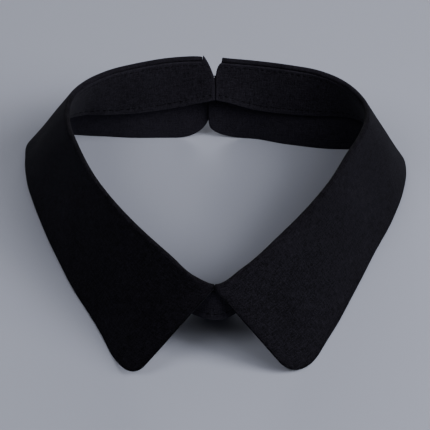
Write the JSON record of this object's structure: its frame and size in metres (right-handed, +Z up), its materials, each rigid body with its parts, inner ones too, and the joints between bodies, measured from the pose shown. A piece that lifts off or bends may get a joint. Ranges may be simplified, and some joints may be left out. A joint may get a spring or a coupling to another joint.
{
  "type": "detachable shirt collar",
  "caption": "Stand-alone pointed shirt collar, rolled over its stand and closed at the nape, standing open in its round worn form.",
  "frame": {"origin": "middle of the collar's bounding box at its underside, on the surface that it stands on", "axes": "+Z up, +X towards the wearer's left, +Y towards the nape; the points are at -Y"},
  "size_m": [0.161, 0.1371, 0.0441],
  "materials": {
    "leaf_cloth": "black plain-woven cloth, firm and pressed, dull; fibre not known",
    "stand_cloth": "black plain-woven cloth with edge stitching, dull; fibre not known",
    "button_plastic": null,
    "loop_thread": null
  },
  "bodies": {
    "root": {"leaf_right": "leaf_cloth", "leaf_left": "leaf_cloth", "stand": "stand_cloth", "back_button": "button_plastic", "back_loop": "loop_thread"}
  },
  "joints": []
}
